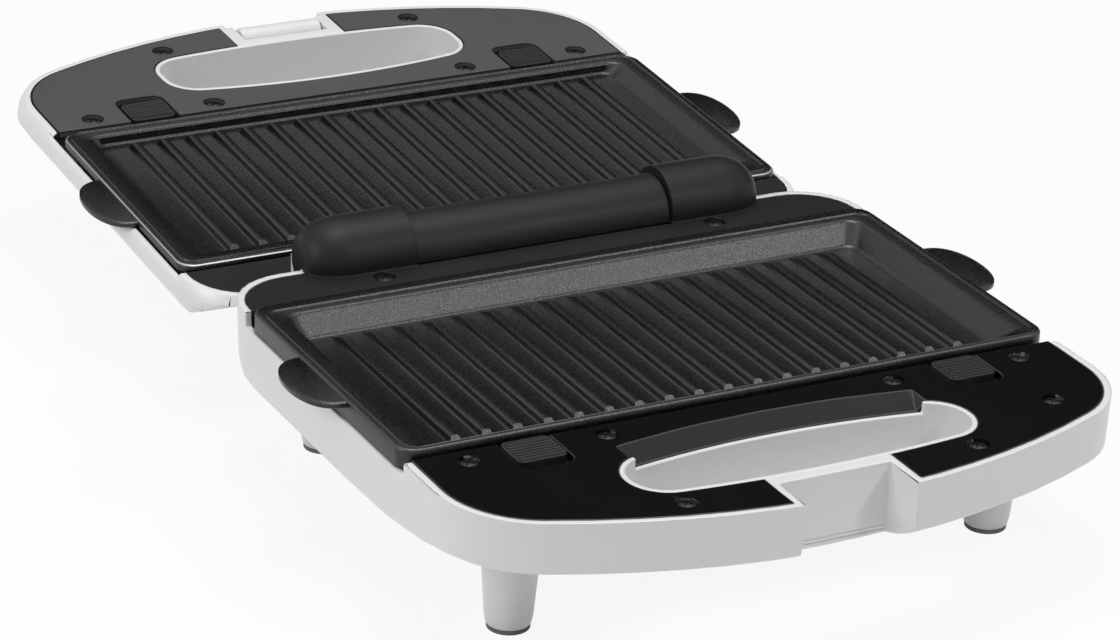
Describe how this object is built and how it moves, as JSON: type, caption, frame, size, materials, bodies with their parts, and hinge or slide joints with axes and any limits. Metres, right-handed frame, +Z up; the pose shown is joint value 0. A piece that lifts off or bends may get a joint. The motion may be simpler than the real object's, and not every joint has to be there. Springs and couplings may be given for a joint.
{
  "type": "sandwich toaster",
  "caption": "Two-sandwich toaster opened flat: white half shells with black frames, ribbed plates with side tabs, sliding plate catches, barrel hinge, finger grips and a closing clip.",
  "frame": {"origin": "table level, middle of the width, middle of the opened length", "axes": "+X to the right along the hinge, +Y from the lower half towards the opened lid, +Z up"},
  "size_m": [0.257, 0.448, 0.071],
  "materials": {
    "white_plastic": "satin",
    "gloss_black": "glossy",
    "satin_black": "satin",
    "plate_coating": "fine-grained non-stick coating",
    "catch_plastic": "satin",
    "clip_plastic": "satin",
    "screw_steel": "blackened",
    "plain_steel": "plain",
    "heater_steel": "dull",
    "tray_aluminium": "bright",
    "grey_rubber": "matte",
    "gland_rubber": "matte",
    "sleeve_rubber": "matte",
    "thermostat_ceramic": "ceramic",
    "fuse_brass": "plain",
    "terminal_plastic": "plain",
    "red_lens": "clear",
    "green_lens": "clear"
  },
  "bodies": {
    "lower_half": {"lower_shell": "white_plastic", "lower_grip_lining": "white_plastic", "lower_legs": "white_plastic", "lower_front_frame": "gloss_black", "lower_rear_frame": "satin_black", "lower_plate": "plate_coating", "lower_heater": "heater_steel", "lower_reflector": "tray_aluminium", "lower_heater_saddles": "plain_steel", "thermostat": "thermostat_ceramic", "thermal_fuse": "fuse_brass", "terminal_block": "terminal_plastic", "cord_gland": "gland_rubber", "hinge_pin_left": "plain_steel", "hinge_pin_right": "plain_steel", "wire_sleeve": "sleeve_rubber", "lower_screws": "screw_steel", "foot_pad_front_left": "grey_rubber", "foot_pad_front_right": "grey_rubber", "foot_pad_rear_left": "grey_rubber", "foot_pad_rear_right": "grey_rubber", "lower_catch_spring_left": "plain_steel", "lower_catch_spring_right": "plain_steel"},
    "lid": {"lid_shell": "white_plastic", "lid_grip_lining": "white_plastic", "lid_front_frame": "gloss_black", "lid_rear_frame": "satin_black", "lid_plate": "plate_coating", "lid_heater": "heater_steel", "lid_reflector": "tray_aluminium", "lid_heater_saddles": "plain_steel", "lid_screws": "screw_steel", "lid_catch_spring_left": "plain_steel", "lid_catch_spring_right": "plain_steel", "clip_pin": "plain_steel", "lamp_lens_red": "red_lens", "lamp_lens_green": "green_lens"},
    "clip": {"lid_clip": "clip_plastic"},
    "lower_catch_left": {"lower_catch_left": "catch_plastic"},
    "lower_catch_right": {"lower_catch_right": "catch_plastic"},
    "lid_catch_left": {"lid_catch_left": "catch_plastic"},
    "lid_catch_right": {"lid_catch_right": "catch_plastic"}
  },
  "joints": [
    {"name": "lid_hinge", "type": "hinge", "parent": "lower_half", "child": "lid", "pos_m": [0, -0.0024, 0.0555], "axis": [1, 0, 0], "range_deg": [0, 176.8]},
    {"name": "clip_pivot", "type": "hinge", "parent": "lid", "child": "clip", "pos_m": [0, 0.21102, 0.05391], "axis": [1, 0, 0], "range_deg": [0, 180]},
    {"name": "lower_catch_left_slide", "type": "slide", "parent": "lower_half", "child": "lower_catch_left", "axis": [0, -1, 0], "range_m": [0, 0.004], "stiffness_N_per_m": 400, "springref_m": -0.002, "deforming": ["lower_catch_spring_left"]},
    {"name": "lower_catch_right_slide", "type": "slide", "parent": "lower_half", "child": "lower_catch_right", "axis": [0, -1, 0], "range_m": [0, 0.004], "stiffness_N_per_m": 400, "springref_m": -0.002, "deforming": ["lower_catch_spring_right"]},
    {"name": "lid_catch_left_slide", "type": "slide", "parent": "lid", "child": "lid_catch_left", "axis": [0, 0.9984, 0.0558], "range_m": [0, 0.004], "stiffness_N_per_m": 400, "springref_m": -0.002, "deforming": ["lid_catch_spring_left"]},
    {"name": "lid_catch_right_slide", "type": "slide", "parent": "lid", "child": "lid_catch_right", "axis": [0, 0.9984, 0.0558], "range_m": [0, 0.004], "stiffness_N_per_m": 400, "springref_m": -0.002, "deforming": ["lid_catch_spring_right"]}
  ]
}
